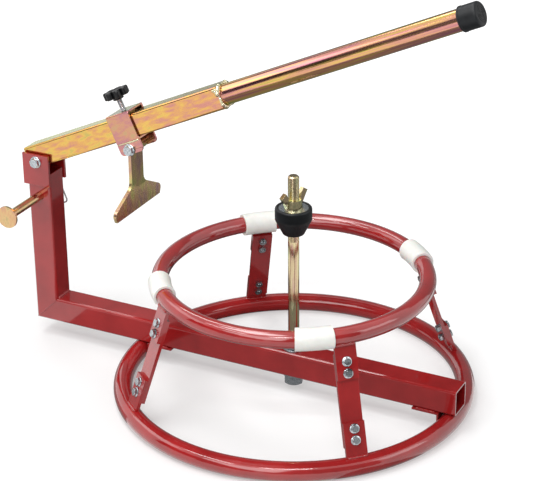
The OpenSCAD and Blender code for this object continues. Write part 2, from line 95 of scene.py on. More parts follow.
baseLow, baseHigh = boxOf("base_ring")
upperLow, upperHigh = boxOf("upper_ring")
baseTube = baseHigh.z - baseLow.z
upperTube = upperHigh.z - upperLow.z
baseRadius = baseHigh.x - baseTube / 2
upperRadius = upperHigh.x - upperTube / 2
postLow, postHigh = boxOf("post")
tubeWidth = postHigh.y - postLow.y
pivot = Vector(joints["lever_swing"]["pos_m"]) / mm
bladePivot = Vector(joints["blade_swing"]["pos_m"]) / mm
leverDir = Vector(joints["carriage_slide"]["axis"])
leverUp = Vector(joints["screw_travel"]["axis"])
leverTilt = math.atan2(leverDir.z, leverDir.x)
leverPlace = placeAt(pivot, leverDir, leverUp)
upright = placeAt((0, 0, 0), (1, 0, 0), (0, 0, 1))
faceX = Matrix.Rotation(math.pi / 2, 4, "Y")  # turns a shape's z to x
faceBack = Matrix.Rotation(-math.pi / 2, 4, "Y")


# a CAD node's box in the lever's own frame: x along the lever, z square to it
def leverBox(node):
    back = leverPlace.inverted()
    points = [back @ v.co for v in nodes[node].data.vertices]
    return (Vector([min(p[k] for p in points) for k in range(3)]),
            Vector([max(p[k] for p in points) for k in range(3)]))


handleLow, handleHigh = leverBox("handle_tube")
handleR = (handleHigh.y - handleLow.y) / 2


# mesh tools: a shape is a row of rings, each ring a list of points
def turned(profile, sides=48):
    angles = [2 * math.pi * k / sides for k in range(sides)]
    return [[(r * math.cos(a), r * math.sin(a), z) for a in angles] for r, z in profile]


def addLoft(shape, rings, place, closed=False):
    rows = [[shape.verts.new(place @ Vector(p)) for p in ring] for ring in rings]
    for a, b in zip(rows, rows[1:] + rows[:1] if closed else rows[1:]):
        for k in range(len(a)):
            n = (k + 1) % len(a)
            shape.faces.new((a[k], a[n], b[n], b[k]))
    if not closed:
        shape.faces.new(rows[0][::-1])
        shape.faces.new(rows[-1])


def tubeAlong(points, radiusAt, sides, closed=False):
    count = len(points)
    turns = [2 * math.pi * k / sides for k in range(sides)]
    rings, side, run = [], None, 0.0
    for i, p in enumerate(points):
        before = points[i - 1] if i or closed else p
        after = points[(i + 1) % count] if i + 1 < count or closed else p
        ahead = (after - before).normalized()
        side = side or ahead.orthogonal()
        side = (side - ahead * side.dot(ahead)).normalized()
        over = ahead.cross(side)
        run += (p - points[i - 1]).length if i else 0
        r = radiusAt(run, i)
        rings.append([p + (side * math.cos(t) + over * math.sin(t)) * r for t in turns])
    return rings


def makePiece(name, shape, material, body, stands=(), crease=35):
    bmesh.ops.recalc_face_normals(shape, faces=shape.faces)
    for face in shape.faces:
        face.smooth = True
    for edge in shape.edges:
        edge.smooth = len(edge.link_faces) == 2 and edge.calc_face_angle() < math.radians(crease)
    mesh = bpy.data.meshes.new(name)
    shape.to_mesh(mesh)
    shape.free()
    mesh.materials.append(material)
    piece = bpy.data.objects.new(name, mesh)
    bpy.context.scene.collection.objects.link(piece)
    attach(piece, body)
    if stands:
        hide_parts(*stands)


# edges of the CAD nodes: seam in millimetres, the angles in degrees
edgeForm = dict(seam=0.01, flat=0.5, corner=40, segments=2, sharp=50)


# shading that stays sharp only at real corners, for the nodes whose edges are rounded
def makeShading(corner):
    tree = bpy.data.node_groups.new("shadeByAngle", "GeometryNodeTree")
    for way in ("INPUT", "OUTPUT"):
        tree.interface.new_socket("Geometry", in_out=way, socket_type="NodeSocketGeometry")
    whole = addNode(tree, "NodeGroupInput")
    bend = addNode(tree, "GeometryNodeInputMeshEdgeAngle")
    sharp = addNode(tree, "FunctionNodeCompare", {0: bend.outputs["Unsigned Angle"], 1: corner})
    shaded = addNode(tree, "GeometryNodeSetMeshNormal",
                     {"Mesh": whole.outputs[0], "Remove Custom": True,
                      "Edge Sharpness": sharp.outputs[0]})
    addNode(tree, "NodeGroupOutput", {0: shaded.outputs[0]})
    return tree


shading = makeShading(math.radians(edgeForm["sharp"]))


# a CAD node keeps its shape: its edges get the small round of real metal, and its finish
def dressNode(name, material, edge):
    node = nodes[name]
    for slot in node.material_slots:
        slot.material = material
    weld = node.modifiers.new("joinSeams", "WELD")
    weld.merge_threshold = edgeForm["seam"] * mm
    if edge:
        flats = node.modifiers.new("joinFlats", "DECIMATE")  # thin triangles would crease the round
        flats.decimate_type, flats.angle_limit = "DISSOLVE", math.radians(edgeForm["flat"])
        bevel = node.modifiers.new("roundEdges", "BEVEL")
        bevel.width, bevel.segments = edge * mm, edgeForm["segments"]
        bevel.limit_method, bevel.angle_limit = "ANGLE", math.radians(edgeForm["corner"])
        bevel.miter_outer, bevel.face_strength_mode = "MITER_ARC", "FSTR_ALL"
        node.modifiers.new("sharpCorners", "NODES").node_group = shading
    even = node.modifiers.new("evenShading", "WEIGHTED_NORMAL")
    even.keep_sharp, even.use_face_influence = True, bool(edge)


# camera, fitted to the photograph's frame of 540 by 481
cameraView = dict(azimuth=26.86, elevation=25.20, roll=0.46, lens=120.6, sensor=36,
                  aim=(-36.8, 0, 227.3), distance=2534.4, near=50, far=50000)


def addCamera(view):
    az, el, roll = (math.radians(view[k]) for k in ("azimuth", "elevation", "roll"))
    ahead = Vector((-math.sin(az) * math.cos(el), math.cos(az) * math.cos(el), -math.sin(el)))
    right = Vector((math.cos(az), math.sin(az), 0))
    down = ahead.cross(right)
    across = right * math.cos(roll) + down * math.sin(roll)
    below = down * math.cos(roll) - right * math.sin(roll)
    lens = bpy.data.cameras.new("photoCamera")
    lens.lens, lens.sensor_width, lens.sensor_fit = view["lens"], view["sensor"], "HORIZONTAL"
    lens.clip_start, lens.clip_end = view["near"] * mm, view["far"] * mm
    camera = bpy.data.objects.new("photoCamera", lens)
    turn = Matrix((across, -below, -ahead)).transposed().to_4x4()
    eye = (Vector(view["aim"]) - ahead * view["distance"]) * mm
    camera.matrix_world = Matrix.Translation(eye) @ turn
    bpy.context.scene.collection.objects.link(camera)
    bpy.context.scene.camera = camera


addCamera(cameraView)
print("camera set")


# In each material below, places are where its tones lie on the pattern, from 0 to 1, and a
# relief is how deep a pattern is in millimetres and how strongly it shows.

# Red powder coat, baked gloss: an even brick red with a wet shine, faint orange peel and a
# slow drift of tone where the film is thicker
redCoat = dict(tones=("#8C191A", "#A02021"), places=(0.32, 0.68), drift=45, peel=2.2,
               relief=(0.25, 0.08), roughness=(0.06, 0.18), ior=1.5, coat=1.0, coatRoughness=0.03)


def makeRedCoat(look):
    material, tree = startMaterial("redPowderCoatBaked")
    coords = addNode(tree, "ShaderNodeTexCoord").outputs["Object"]
    drift = addNode(tree, "ShaderNodeTexNoise",
                    {"Vector": coords, "Scale": 1 / (look["drift"] * mm), "Detail": 3.0})
    tone = addNode(tree, "ShaderNodeValToRGB", {"Fac": drift.outputs["Fac"]},
                   stops=zip(look["places"], look["tones"]))
    peel = addNode(tree, "ShaderNodeTexNoise",
                   {"Vector": coords, "Scale": 1 / (look["peel"] * mm), "Detail": 1.0})
    depth, strength = look["relief"]
    bump = addNode(tree, "ShaderNodeBump", {"Height": peel.outputs["Fac"], "Strength": strength,
                                            "Distance": depth * mm})
    thin, full = look["roughness"]
    gloss = addNode(tree, "ShaderNodeMapRange",
                    {"Value": drift.outputs["Fac"], "To Min": thin, "To Max": full})
    shader = addNode(tree, "ShaderNodeBsdfPrincipled",
                     {"Base Color": tone.outputs["Color"], "Roughness": gloss.outputs["Result"],
                      "IOR": look["ior"], "Coat Weight": look["coat"],
                      "Coat Roughness": look["coatRoughness"], "Normal": bump.outputs["Normal"]})
    addNode(tree, "ShaderNodeOutputMaterial", {"Surface": shader.outputs["BSDF"]})
    return material


# Yellow chromate on zinc: a shiny metal film with clouds of gold, pink and olive where the
# passivation is thicker, and faint lines along the way the steel was drawn. The lines of the
# real steel are a few hundredths of a millimetre wide, and are drawn coarser so as to show.
yellowZinc = dict(places=(0.32, 0.44, 0.54, 0.69),  # olive, straw, gold and pink
                  driftLength=150, line=0.9, lineLength=70, lineSpan=(0.3, 0.7),
                  relief=(0.2, 0.10), roughness=0.13, spread=(-0.05, 0.08),
                  grazing="#DDF6E8")  # the film turns greenish at a flat angle
upTilt = math.pi / 2
# each film has its clouds' length and width, and a drift where its tone moves along the lever
zincFilms = dict(
    lever=dict(name="yellowChromateZincDrawnTube", tilt=leverTilt, cloud=(28, 8),
               tones=("#CAB76C", "#E8BF66", "#E2AA6C", "#D39283"), drift=(-0.01, 0.13)),
    handle=dict(name="yellowChromateZincRoundTube", tilt=leverTilt, cloud=(130, 5),
                tones=("#A9A755", "#E0BC68", "#DFA57E", "#C37C8E"), drift=(0.02, 0.04)),
    carriage=dict(name="yellowChromateZincFoldedPlate", tilt=leverTilt, cloud=(29, 12),
                  tones=("#C4A97F", "#D29D7C", "#CB8E86", "#BE858E")),
    plate=dict(name="yellowChromateZincRolledPlate", tilt=upTilt, cloud=(29, 12),
               tones=("#B8B874", "#D0B880", "#C8A284", "#B38C8C"), roughness=0.22),
    turned=dict(name="yellowChromateZincTurnedBar", tilt=upTilt, cloud=(20, 9),
                tones=("#C0AE7C", "#E0BE8C", "#DCB084", "#D09E92")),
    rod=dict(name="yellowChromateZincThreadedBar", tilt=upTilt, cloud=(40, 7),
             tones=("#B2B28C", "#DACDA2", "#D2BC96", "#C6A498")),
    bead=dict(name="yellowChromateZincWeldBead", tilt=leverTilt, cloud=(29, 12),
              tones=("#C9C6A0", "#E6E0BE", "#E2D6B0", "#D8BFAE")))


def makeYellowZinc(look, film):
    material, tree = startMaterial(film["name"])
    coords = addNode(tree, "ShaderNodeTexCoord").outputs["Object"]
    turn = (0, -film["tilt"], 0)
    long, wide = (v * mm for v in film["cloud"])
    clouds = addNode(tree, "ShaderNodeMapping",
                     {"Vector": coords, "Rotation": turn, "Scale": (long, wide, wide)},
                     vector_type="TEXTURE")
    cloud = addNode(tree, "ShaderNodeTexNoise",
                    {"Vector": clouds.outputs["Vector"], "Scale": 1.0, "Detail": 4.0,
                     "Roughness": 0.6, "Distortion": 0.3})
    along = addNode(tree, "ShaderNodeSeparateXYZ", {"Vector": clouds.outputs["Vector"]})
    reach = look["driftLength"] * mm / long
    low, high = film.get("drift", (0.0, 0.0))
    drift = addNode(tree, "ShaderNodeMapRange",
                    {"Value": along.outputs["X"], "From Min": -reach, "From Max": reach,
                     "To Min": low, "To Max": high})
    shift = addNode(tree, "ShaderNodeMath", {0: cloud.outputs["Fac"], 1: drift.outputs["Result"]})
    tone = addNode(tree, "ShaderNodeValToRGB", {"Fac": shift.outputs[0]},
                   stops=zip(look["places"], film["tones"]))
    line, lineLength = look["line"] * mm, look["lineLength"] * mm
    strands = addNode(tree, "ShaderNodeMapping",
                      {"Vector": coords, "Rotation": turn, "Scale": (lineLength, line, line)},
                      vector_type="TEXTURE")
    lines = addNode(tree, "ShaderNodeTexNoise",
                    {"Vector": strands.outputs["Vector"], "Scale": 1.0, "Detail": 2.0})
    rough = film.get("roughness", look["roughness"])
    smoother, rougher = look["spread"]
    least, most = look["lineSpan"]
    gloss = addNode(tree, "ShaderNodeMapRange",
                    {"Value": lines.outputs["Fac"], "From Min": least, "From Max": most,
                     "To Min": rough + smoother, "To Max": rough + rougher})
    depth, strength = look["relief"]
    bump = addNode(tree, "ShaderNodeBump", {"Height": lines.outputs["Fac"], "Strength": strength,
                                            "Distance": depth * mm})
    shader = addNode(tree, "ShaderNodeBsdfPrincipled",
                     {"Base Color": tone.outputs["Color"], "Metallic": 1.0,
                      "Specular Tint": hexColour(look["grazing"]),
                      "Roughness": gloss.outputs["Result"], "Normal": bump.outputs["Normal"]})
    addNode(tree, "ShaderNodeOutputMaterial", {"Surface": shader.outputs["BSDF"]})
    return material


# Bright zinc, barrel plated: a cool silver skin with a soft blue cast and small dull patches
brightZinc = dict(tones=("#A2A9AE", "#CDD3D7"), places=(0.35, 0.62), patch=3.0,
                  patchSpan=(0.3, 0.7), roughness=(0.34, 0.18))


def makeBrightZinc(look):
    material, tree = startMaterial("brightZincBarrelPlated")
    coords = addNode(tree, "ShaderNodeTexCoord").outputs["Object"]
    patch = addNode(tree, "ShaderNodeTexNoise",
                    {"Vector": coords, "Scale": 1 / (look["patch"] * mm), "Detail": 3.0})
    tone = addNode(tree, "ShaderNodeValToRGB", {"Fac": patch.outputs["Fac"]},
                   stops=zip(look["places"], look["tones"]))
    least, most = look["patchSpan"]
    dull, light = look["roughness"]
    gloss = addNode(tree, "ShaderNodeMapRange",
                    {"Value": patch.outputs["Fac"], "From Min": least, "From Max": most,
                     "To Min": dull, "To Max": light})
    shader = addNode(tree, "ShaderNodeBsdfPrincipled",
                     {"Base Color": tone.outputs["Color"], "Metallic": 1.0,
                      "Roughness": gloss.outputs["Result"]})
    addNode(tree, "ShaderNodeOutputMaterial", {"Surface": shader.outputs["BSDF"]})
    return material


# Black nylon, moulded: near black with a satin face and the fine spark texture of the mould.
# The real sparks are about a tenth of a millimetre, and are drawn coarser so as to show.
blackNylon = dict(name="blackNylonMoulded", tones=("#08080A", "#101113"), places=(0.35, 0.70),
                  bloom=12, spark=0.7, relief=(0.15, 0.2), roughness=(0.24, 0.42), ior=1.53,
                  shine=0.3)
# Black rubber, moulded: a cool black with a softer, duller shine and a dusty bloom, and a
# coarser texture, again drawn so as to show
blackRubber = dict(blackNylon, name="blackRubberMoulded", tones=("#05070A", "#0C1014"), spark=1.4,
                   roughness=(0.34, 0.52), ior=1.52, shine=0.34)


def makeBlackMoulding(look):
    material, tree = startMaterial(look["name"])
    coords = addNode(tree, "ShaderNodeTexCoord").outputs["Object"]
    bloom = addNode(tree, "ShaderNodeTexNoise",
                    {"Vector": coords, "Scale": 1 / (look["bloom"] * mm), "Detail": 3.0})
    tone = addNode(tree, "ShaderNodeValToRGB", {"Fac": bloom.outputs["Fac"]},
                   stops=zip(look["places"], look["tones"]))
    spark = addNode(tree, "ShaderNodeTexNoise",
                    {"Vector": coords, "Scale": 1 / (look["spark"] * mm), "Detail": 2.0})
    depth, strength = look["relief"]
    bump = addNode(tree, "ShaderNodeBump", {"Height": spark.outputs["Fac"], "Strength": strength,
                                            "Distance": depth * mm})
    clean, dusty = look["roughness"]
    gloss = addNode(tree, "ShaderNodeMapRange",
                    {"Value": bloom.outputs["Fac"], "To Min": clean, "To Max": dusty})
    shader = addNode(tree, "ShaderNodeBsdfPrincipled",
                     {"Base Color": tone.outputs["Color"], "Roughness": gloss.outputs["Result"],
                      "IOR": look["ior"], "Specular IOR Level": look["shine"],
                      "Normal": bump.outputs["Normal"]})
    addNode(tree, "ShaderNodeOutputMaterial", {"Surface": shader.outputs["BSDF"]})
    return material


# Soft PVC hose, extruded: milky white with a waxy shine, a little light that comes back out of
# its depth, and a faint ripple from the die
milkyHose = dict(tones=("#DFDFDA", "#E6E6E1"), places=(0.3, 0.65), cloud=9, ripple=1.6,
                 relief=(0.2, 0.08), roughness=0.36, ior=1.52, inner=0.15, innerDepth=3)


def makeMilkyHose(look):
    material, tree = startMaterial("milkyPvcHoseExtruded")
    coords = addNode(tree, "ShaderNodeTexCoord").outputs["Object"]
    cloud = addNode(tree, "ShaderNodeTexNoise",
                    {"Vector": coords, "Scale": 1 / (look["cloud"] * mm), "Detail": 3.0})
    tone = addNode(tree, "ShaderNodeValToRGB", {"Fac": cloud.outputs["Fac"]},
                   stops=zip(look["places"], look["tones"]))
    ripple = addNode(tree, "ShaderNodeTexNoise",
                     {"Vector": coords, "Scale": 1 / (look["ripple"] * mm), "Detail": 1.0})
    depth, strength = look["relief"]
    bump = addNode(tree, "ShaderNodeBump", {"Height": ripple.outputs["Fac"], "Strength": strength,
                                            "Distance": depth * mm})
    shader = addNode(tree, "ShaderNodeBsdfPrincipled",
                     {"Base Color": tone.outputs["Color"], "Roughness": look["roughness"],
                      "IOR": look["ior"], "Subsurface Weight": look["inner"],
                      "Subsurface Scale": look["innerDepth"] * mm,
                      "Normal": bump.outputs["Normal"]})
    addNode(tree, "ShaderNodeOutputMaterial", {"Surface": shader.outputs["BSDF"]})
    return material


redPaint = makeRedCoat(redCoat)
zinc = {part: makeYellowZinc(yellowZinc, film) for part, film in zincFilms.items()}
silverZinc = makeBrightZinc(brightZinc)
knobPlastic = makeBlackMoulding(blackNylon)
capRubber = makeBlackMoulding(blackRubber)
guardHose = makeMilkyHose(milkyHose)
print("materials made")

# CAD nodes that keep their shape, with the round of their edges in millimetres
quarters = (1, 2, 3, 4)
redNodes = dict(cross_tube=0.5, post=0.5, front_seat_angle=0.6, rear_seat_angle=0.6,
                pivot_bracket=0.9, base_ring=0, upper_ring=0)
redNodes.update({f"{kind}_{i}": 0.8 for kind in ("base_tab", "upper_tab", "leg_strap")
                 for i in quarters})
for finish, group in ((redPaint, redNodes),
                      (guardHose, {f"rim_guard_{i}": 0.7 for i in quarters}),
                      (zinc["lever"], dict(lever_tube=0.4, pivot_bush=0.4)),
                      (zinc["handle"], dict(handle_tube=0.4)),
                      (zinc["carriage"], dict(carriage_sleeve=0.5, near_ear=0.6, far_ear=0.6)),
                      (zinc["plate"], dict(blade=0.9, blade_barrel=0.5)),
                      (zinc["turned"], dict(lock_pin=0.6)),
                      (zinc["rod"], dict(wing_nut=0.9)),
                      (silverZinc, dict(rod_washers=0.4, cone_washer=0.4)),
                      (capRubber, dict(center_cone=1.2))):
    for name, edge in group.items():
        dressNode(name, finish, edge)
print("solids dressed")


# hexagon heads and nuts: the corners are cut back by a 30 degree cone, as on a turned blank
hexForm = dict(rim=0.97, face=0.9, foot=0.98, cone=30, sides=48)
flangeForm = dict(foot=0.3, straight=0.5, slope=0.4, top=0.8, root=0.1, rise=0.2)


def hexRadius(across, angle):
    return across / 2 / math.cos((angle + math.pi / 6) % (math.pi / 3) - math.pi / 6)


def hexRings(across, height, flange=None):
    sides = hexForm["sides"]
    angles = [2 * math.pi * k / sides for k in range(sides)]
    radii = [hexRadius(across, a) for a in angles]
    rim = across / 2 * hexForm["rim"]
    steep = math.tan(math.radians(hexForm["cone"]))
    cuts = [(r - rim) * steep for r in radii]

    def ring(heights, grow=0):
        return [((r + grow) * math.cos(a), (r + grow) * math.sin(a), z)
                for a, r, z in zip(angles, radii, heights)]

    if flange:  # a bolt's head
        wide, thick = flange
        rings = turned([(wide / 2 - flangeForm["foot"], 0), (wide / 2, flangeForm["foot"]),
                        (wide / 2, thick * flangeForm["straight"]),
                        (wide / 2 - flangeForm["slope"], thick * flangeForm["top"])], sides)
        rings.append(ring([thick + flangeForm["rise"]] * sides, flangeForm["root"]))
    else:  # a nut, cut back at both ends
        rings = turned([(rim * hexForm["foot"], 0)], sides)
        rings.append(ring(cuts))
    rings.append(ring([height - cut for cut in cuts]))
    return rings + turned([(rim, height), (rim * hexForm["face"], height)], sides)


def threadRings(diameter, low, high, pitch, bevel, depth, sides, perTurn=6):
    steps = max(3, round((high - low) / pitch * perTurn))
    rings = []
    for i in range(steps + 1):
        z = low + (high - low) * i / steps
        limit = diameter / 2 - bevel + min(z - low, high - z)
        ring = []
        for k in range(sides):
            a = 2 * math.pi * k / sides
            wave = abs((z / pitch - k / sides) % 1 * 2 - 1)  # 0 on the root, 1 on the crest
            r = min(limit, diameter / 2 - depth * pitch * (1 - wave))
            ring.append((r * math.cos(a), r * math.sin(a), z))
        rings.append(ring)
    return rings


boltForm = dict(past=1, overlap=0.5, sink=0.01, thread=dict(bevel=0.8, depth=0.5, sides=24))
nutForm = dict(slack=0.05, top=0.1, foot=0.1)


def boltSizes(thread):  # common proportions
    return dict(across=1.5 * thread + 1, flange=(2 * thread + 1.8, 0.2 * thread + 0.3),
                head=0.8 * thread, nut=0.85 * thread)


def addBolt(shape, place, thread, pitch, grip):
    # z points out of the head, and the thread's end shows past the nut
    size = boltSizes(thread)
    addLoft(shape, hexRings(size["across"], size["head"], size["flange"]), place)
    tip = -grip - size["nut"] - boltForm["past"]
    shank = [(thread / 2, -grip - 2 * boltForm["overlap"]), (thread / 2, -boltForm["sink"])]
    addLoft(shape, turned(shank, boltForm["thread"]["sides"]), place)
    addLoft(shape, threadRings(thread, tip, -grip - boltForm["overlap"], pitch,
                               **boltForm["thread"]), place)


def addNut(shape, place, thread, lead):
    # lead is the bevel at each end of the bore
    size = boltSizes(thread)
    height, bore = size["nut"], thread / 2 + nutForm["slack"]
    rings = hexRings(size["across"], height)
    rings += turned([(bore + lead, height - nutForm["top"]), (bore, height - lead), (bore, lead),
                     (bore + lead, lead * nutForm["foot"])], hexForm["sides"])
    addLoft(shape, rings, place, closed=True)


# leg bolts and nuts, two at each end of each strap
legs = dict(azimuths=(44, 130, -130, -44), boltFirst=22, boltPitch=16, tab=5, strap=5, width=30,
            thread=6, pitch=1.0, lead=0.5)


def legPlaces():
    for azimuth in legs["azimuths"]:
        a = math.radians(azimuth)
        out = Vector((math.cos(a), math.sin(a), 0))
        foot = out * baseRadius + Vector((0, 0, baseTube / 2))
        head = out * upperRadius + Vector((0, 0, upperHigh.z - upperTube / 2))
        along = (head - foot).normalized()
        outward = out - along * out.dot(along)
        yield placeAt(foot, outward, along), (head - foot).length


legBolts, legNuts = bmesh.new(), bmesh.new()
for place, span in legPlaces():
    steps = [legs["boltFirst"], legs["boltFirst"] + legs["boltPitch"]]
    heights = [baseTube / 2 + s for s in steps] + [span - upperTube / 2 - s for s in steps]
    for height in heights:
        spin = Matrix.Rotation(random.uniform(0, math.pi / 3), 4, "Z")
        headPlace = place @ Matrix.Translation((legs["tab"], 0, height)) @ faceX @ spin
        addBolt(legBolts, headPlace, legs["thread"], legs["pitch"], legs["tab"] + legs["strap"])
        nutPlace = place @ Matrix.Translation((-legs["strap"], 0, height)) @ faceBack @ spin
        addNut(legNuts, nutPlace, legs["thread"], legs["lead"])
makePiece("legBolts", legBolts, silverZinc, "frame", ["leg_bolts"])
makePiece("legNuts", legNuts, silverZinc, "frame", ["leg_nuts"])

# the two cross bolts: the lever's pivot and the blade's
crossBolts = dict(thread=8, pitch=1.25, lead=0.5, turn=12)
spin = Matrix.Rotation(math.radians(crossBolts["turn"]), 4, "Z")
for label, at, body in (("pivot", pivot, "frame"), ("blade", bladePivot, "carriage")):
    half = boxOf(f"{label}_nut")[0].y
    bolt, nut = bmesh.new(), bmesh.new()
    headPlace = placeAt((at.x, -half, at.z), (1, 0, 0), (0, -1, 0)) @ spin
    addBolt(bolt, headPlace, crossBolts["thread"], crossBolts["pitch"], 2 * half)
    nutPlace = placeAt((at.x, half, at.z), (1, 0, 0), (0, 1, 0)) @ spin
    addNut(nut, nutPlace, crossBolts["thread"], crossBolts["lead"])
    makePiece(f"{label}Bolt", bolt, silverZinc, body, [f"{label}_bolt"])
    makePiece(f"{label}Nut", nut, silverZinc, body, [f"{label}_nut"])
print("bolts and nuts made")

# centre rod: threaded where the nuts run, plain between
rod = dict(topThread=100, footThread=84, thread=dict(pitch=2.0, bevel=2, depth=0.18, sides=40),
           slack=0.05, taper=0.5, runOut=1.5)
rodLow, rodHigh = boxOf("center_rod")
rodDiameter = rodHigh.x - rodLow.x
footEnd, topStart = rodLow.z + rod["footThread"], rodHigh.z - rod["topThread"]
rodShape = bmesh.new()
for low, high in ((topStart, rodHigh.z), (rodLow.z, footEnd)):
    addLoft(rodShape, threadRings(rodDiameter, low, high, **rod["thread"]), upright)
shank = [(rodDiameter / 2 - rod["taper"], footEnd - 2 * rod["runOut"]),
         (rodDiameter / 2 - rod["slack"], footEnd - rod["runOut"]),
         (rodDiameter / 2 - rod["slack"], topStart + rod["runOut"]),
         (rodDiameter / 2 - rod["taper"], topStart + 2 * rod["runOut"])]
addLoft(rodShape, turned(shank), upright)
makePiece("centreRod", rodShape, zinc["rod"], "frame", ["center_rod"])

rodNut = dict(turn=20, lead=1)
rodNutsLow, rodNutsHigh = boxOf("rod_nuts")
rodNuts = bmesh.new()
spin = Matrix.Rotation(math.radians(rodNut["turn"]), 4, "Z")
for z in (rodNutsLow.z, rodNutsHigh.z - boltSizes(rodDiameter)["nut"]):
    nutPlace = placeAt((0, 0, z), (1, 0, 0), (0, 0, 1)) @ spin
    addNut(rodNuts, nutPlace, rodDiameter, rodNut["lead"])
makePiece("rodNuts", rodNuts, silverZinc, "frame", ["rod_nuts"])
print("rod made")

# clamp screw
clampThread = dict(pitch=1.25, bevel=1.0, depth=0.45, sides=28)
screwLow, screwHigh = leverBox("clamp_screw")
screwAlong = (screwLow.x + screwHigh.x) / 2
screw = bmesh.new()
addLoft(screw, threadRings(screwHigh.x - screwLow.x, screwLow.z, screwHigh.z, **clampThread),
        leverPlace @ Matrix.Translation((screwAlong, 0, 0)))
makePiece("clampScrew", screw, silverZinc, "screw", ["clamp_screw"])

# its star knob
knob = dict(wide=38, lobes=7, lobeShare=0.135, core=0.62, fillet=1.2, skirt=4, round=2.2, dish=1.2,
            sides=168, hub=16, hubRound=(1.2, 0.8), hubTop=0.6,
            skirtSteps=((4.0, 0), (1.0, 0), (0.2, 0.4), (0, 1.2)),  # inset and rise
            roundSteps=(0, 22, 45, 68, 90),  # degrees
            dishSteps=((0.29, 0), (0.26, 0.6), (0.22, 1), (0.1, 1)))  # shares of wide and of dish


def knobRings(look, height):
    wide, sides = look["wide"], look["sides"]
    lobeR = wide * look["lobeShare"]
    lobeAt = wide / 2 - lobeR
    core = wide / 2 * look["core"]
    soft = look["fillet"]  # between lobe and core
    halfStep = math.pi / look["lobes"]

    def outline(a):
        t = (a + halfStep) % (2 * halfStep) - halfStep
        off = lobeAt * math.sin(t)
        lobe = 0
        if abs(off) < lobeR:
            lobe = lobeAt * math.cos(t) + math.sqrt(lobeR ** 2 - off ** 2)
        mix = max(soft - abs(lobe - core), 0) / soft
        return max(lobe, core) + mix * mix * soft / 4

    angles = [2 * math.pi * k / sides for k in range(sides)]
    edge = [outline(a) for a in angles]

    def ring(inset, z):
        return [((r - inset) * math.cos(a), (r - inset) * math.sin(a), z)
                for a, r in zip(angles, edge)]

    hub, low, bend = look["hub"] / 2, look["skirt"], look["round"]
    hubIn, hubUp = look["hubRound"]
    rings = turned([(hub - hubIn, 0), (hub, hubUp), (hub, low - look["hubTop"])], sides)
    rings += [ring(inset, low + rise) for inset, rise in look["skirtSteps"]]
    for t in (math.radians(d) for d in look["roundSteps"]):
        rings.append(ring(bend * (1 - math.cos(t)), height - bend + bend * math.sin(t)))
    rings += turned([(wide * share, height - look["dish"] * drop)
                     for share, drop in look["dishSteps"]], sides)
    return rings


knobLow, knobHigh = leverBox("clamp_knob")
knobShape = bmesh.new()
addLoft(knobShape, knobRings(knob, knobHigh.z - knobLow.z),
        leverPlace @ Matrix.Translation((screwAlong, 0, knobLow.z)))
makePiece("clampKnob", knobShape, knobPlastic, "knob", ["clamp_knob"], crease=50)

# end cap: a rubber boot with a bead at its mouth and round grooves in its end
cap = dict(mouth=0.5, mouthLength=3, edge=0.5, fit=0.1, lead=1, round=3.4, roundStep=15, land=1.5,
           rings=4, groove=0.5, slope=0.3, sides=64)


def capProfile(look, radius, length):
    wall, edge, bend = radius - look["mouth"], look["edge"], look["round"]
    profile = [(handleR + look["fit"], 0), (radius - edge, 0), (radius, edge),
               (radius, look["mouthLength"] - edge), (wall, look["mouthLength"]),
               (wall, length - bend - look["lead"])]
    for t in (math.radians(d) for d in range(0, 91, look["roundStep"])):
        profile.append((wall - bend * (1 - math.cos(t)), length - bend + bend * math.sin(t)))
    face = profile[-1][0] - look["land"]
    wide = face / look["rings"] - look["land"]
    floor = length - look["groove"]
    for k in range(look["rings"]):
        out = face * (1 - k / look["rings"])
        profile += [(out, length), (out - look["slope"], floor),
                    (out - wide + look["slope"], floor), (out - wide, length)]
    return profile


capLow, capHigh = leverBox("end_cap")
capRings = turned(capProfile(cap, (capHigh.y - capLow.y) / 2, capHigh.x - capLow.x), cap["sides"])
capMiddle = Matrix.Translation((capLow.x, 0, (capLow.z + capHigh.z) / 2))
capShape = bmesh.new()
addLoft(capShape, capRings, leverPlace @ capMiddle @ faceX)
makePiece("endCap", capShape, capRubber, "lever", ["end_cap"])

# pin clip: one bent spring wire, through the pin, round the eye and back over it
clip = dict(pin=12.7, wire=2.5, grip=0.55, slack=0.1, eye=5.5, eyeSteps=16, reach=23, lead=2,
            turn=-75, hold=35, holdSteps=6, flare=40, flareSteps=(1, 3.5), sides=14)


def clipPath(look):
    pinR, wire, eye, reach = look["pin"] / 2, look["wire"], look["eye"], look["reach"]
    over = pinR + wire * look["grip"] + look["slack"]
    touch = math.atan2(eye, reach) + math.acos((over - eye) / math.hypot(reach, eye))
    path = [(x, 0) for x in (-2 * pinR, -pinR, 0, pinR, 2 * pinR, reach - look["lead"])]
    for k in range(look["eyeSteps"] + 1):
        t = (math.pi / 2 + touch) * k / look["eyeSteps"]
        path.append((reach + eye * math.sin(t), eye - eye * math.cos(t)))
    hold = math.radians(look["hold"])
    for k in range(look["holdSteps"] + 1):
        t = touch + hold * k / look["holdSteps"]
        path.append((over * math.cos(t), over * math.sin(t)))
    endX, endY = path[-1]
    away = touch + hold + math.radians(look["flare"])
    path += [(endX + math.cos(away) * wire * d, endY + math.sin(away) * wire * d)
             for d in look["flareSteps"]]
    return [Vector((x, y, 0)) for x, y in path]


